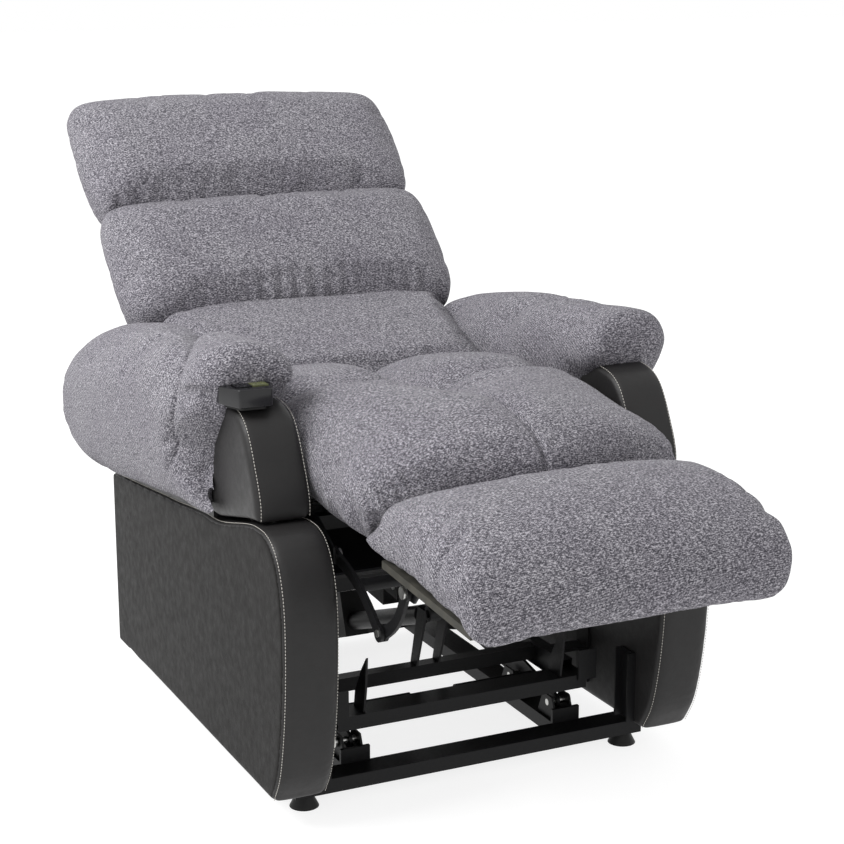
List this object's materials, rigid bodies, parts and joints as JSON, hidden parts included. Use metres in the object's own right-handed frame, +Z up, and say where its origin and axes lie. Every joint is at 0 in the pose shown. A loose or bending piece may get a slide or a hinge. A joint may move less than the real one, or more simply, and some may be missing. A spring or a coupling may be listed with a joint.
{
  "type": "lift recliner chair",
  "caption": "Powered lift and recline armchair with a reclining pillow back, a rising footrest, saddle arm pads and a lifting base frame.",
  "frame": {"origin": "on the floor under the middle of the chair's box, in the reclined pose", "axes": "+Z up, the sitter faces -Y, +X to the left hand of the sitter"},
  "size_m": [0.904, 1.7763, 1.0938],
  "materials": {
    "upholstery": "grey tweed weave",
    "leather": "black, soft sheen, pale saddle stitching",
    "cover_cloth": "black dust cloth",
    "timber": "raw board",
    "zinc": "zinc plated",
    "black_steel": "satin black powder coat",
    "black_plastic": "moulded",
    "gloss_black": "glossy",
    "lit_key": "translucent yellow-green"
  },
  "bodies": {
    "base": {"base_front_rail": "black_steel", "base_rear_rail": "black_steel", "base_side_rails": "black_steel", "base_link_lugs": "black_steel", "base_feet": "black_plastic", "base_motor_lug": "black_steel", "base_pivot_bolts": "zinc"},
    "lift_front": {"lift_front_links": "black_steel", "lift_tie_rod": "black_steel"},
    "lift_rear": {"lift_rear_links": "black_steel"},
    "chassis": {"lift_frame_front_bar": "black_steel", "lift_frame_cross_bars": "black_steel", "lift_frame_side_rails": "black_steel", "lift_frame_end_plates": "black_steel", "lift_frame_horns": "black_steel", "panel_brackets": "black_steel", "lift_rod_lugs": "black_steel", "seat_side_plates": "black_steel", "seat_side_spacers": "timber", "seat_rails": "black_steel", "seat_springs": "zinc", "seat_dust_cover": "cover_cloth", "back_motor_bar": "black_steel", "chassis_pivot_bolts": "zinc", "seat_cushion": "upholstery", "side_panel_right": "leather", "arm_facing_right": "leather", "arm_pad_right": "upholstery", "side_panel_left": "leather", "arm_facing_left": "leather", "arm_pad_left": "upholstery", "arm_boxes": "leather", "facing_screws": "zinc", "handset_plinth": "black_plastic", "handset_housing": "gloss_black", "control_box": "black_plastic"},
    "back": {"back_side_tubes": "black_steel", "back_hinge_plates": "black_steel", "back_cross_tubes": "black_steel", "back_shell": "cover_cloth", "back_levers": "black_steel", "lower_back_pillow": "upholstery", "mid_back_pillow": "upholstery", "headrest_pillow": "upholstery"},
    "otto_a": {"otto_links_a": "black_steel", "otto_elbow_bolts": "zinc", "otto_torque_tube": "black_steel"},
    "otto_b": {"otto_links_b": "black_steel"},
    "footrest": {"footrest_board": "timber", "footrest_brackets": "black_steel", "otto_board_bolts": "zinc", "footrest_pad": "upholstery"},
    "lift_motor": {"lift_motor_housing": "black_plastic", "lift_motor_tube": "black_steel"},
    "lift_rod": {"lift_motor_rod": "black_plastic"},
    "back_motor": {"back_motor_housing": "black_plastic", "back_motor_tube": "black_steel"},
    "back_rod": {"back_motor_rod": "black_plastic"},
    "key_raise": {"handset_key_raise": "lit_key"},
    "key_lower": {"handset_key_lower": "gloss_black"}
  },
  "joints": [
    {"name": "lift", "type": "hinge", "parent": "base", "child": "lift_front", "pos_m": [0, -0.309, 0.076], "axis": [1, 0, 0], "range_deg": [0, 70]},
    {"name": "chassis_tilt", "type": "hinge", "parent": "lift_front", "child": "chassis", "pos_m": [0, -0.09795, 0.11702], "axis": [1, 0, 0], "range_deg": [-45.01, 0]},
    {"name": "lift_rear_swing", "type": "hinge", "parent": "base", "child": "lift_rear", "pos_m": [0, -0.16282, 0.076], "axis": [1, 0, 0], "range_deg": [0, 55.09]},
    {"name": "back_recline", "type": "hinge", "parent": "chassis", "child": "back", "pos_m": [0, 0.186, 0.45], "axis": [1, 0, 0], "range_deg": [0, 34]},
    {"name": "footrest_fold", "type": "hinge", "parent": "chassis", "child": "otto_a", "pos_m": [0, -0.394, 0.44], "axis": [1, 0, 0], "range_deg": [0, 118.44]},
    {"name": "otto_b_fold", "type": "hinge", "parent": "otto_a", "child": "otto_b", "pos_m": [0, -0.566, 0.362], "axis": [1, 0, 0], "range_deg": [-65.08, 0]},
    {"name": "footrest_board_turn", "type": "hinge", "parent": "otto_b", "child": "footrest", "pos_m": [0, -0.646, 0.452], "axis": [1, 0, 0], "range_deg": [0, 34.64]},
    {"name": "lift_motor_pivot", "type": "hinge", "parent": "base", "child": "lift_motor", "pos_m": [0, 0.246, 0.074], "axis": [1, 0, 0], "range_deg": [-1.85, 0]},
    {"name": "lift_rod_slide", "type": "slide", "parent": "lift_motor", "child": "lift_rod", "axis": [0, -0.9391, 0.3437], "range_m": [0, 0.24352]},
    {"name": "back_motor_pivot", "type": "hinge", "parent": "chassis", "child": "back_motor", "pos_m": [0, -0.124, 0.27], "axis": [1, 0, 0], "range_deg": [0, 5.89]},
    {"name": "back_rod_slide", "type": "slide", "parent": "back_motor", "child": "back_rod", "axis": [0, 0.9984, 0.0571], "range_m": [0, 0.08765]},
    {"name": "key_raise_press", "type": "slide", "parent": "chassis", "child": "key_raise", "axis": [0, 0, -1], "range_m": [0, 0.0015], "stiffness_N_per_m": 400, "springref_m": -0.0008},
    {"name": "key_lower_press", "type": "slide", "parent": "chassis", "child": "key_lower", "axis": [0, 0, -1], "range_m": [0, 0.0015], "stiffness_N_per_m": 400, "springref_m": -0.0008}
  ],
  "couplings": [
    {"joint": "chassis_tilt", "follows": "lift", "ratio": -0.64286},
    {"joint": "lift_rear_swing", "follows": "lift", "ratio": 0.78692},
    {"joint": "lift_motor_pivot", "follows": "lift", "ratio": -0.026269},
    {"joint": "lift_rod_slide", "follows": "lift", "m_per_rad": 0.19932},
    {"joint": "back_motor_pivot", "follows": "back_recline", "ratio": 0.17307},
    {"joint": "back_rod_slide", "follows": "back_recline", "m_per_rad": 0.14769},
    {"joint": "otto_b_fold", "follows": "footrest_fold", "ratio": -0.54938},
    {"joint": "footrest_board_turn", "follows": "footrest_fold", "ratio": 0.29234}
  ]
}
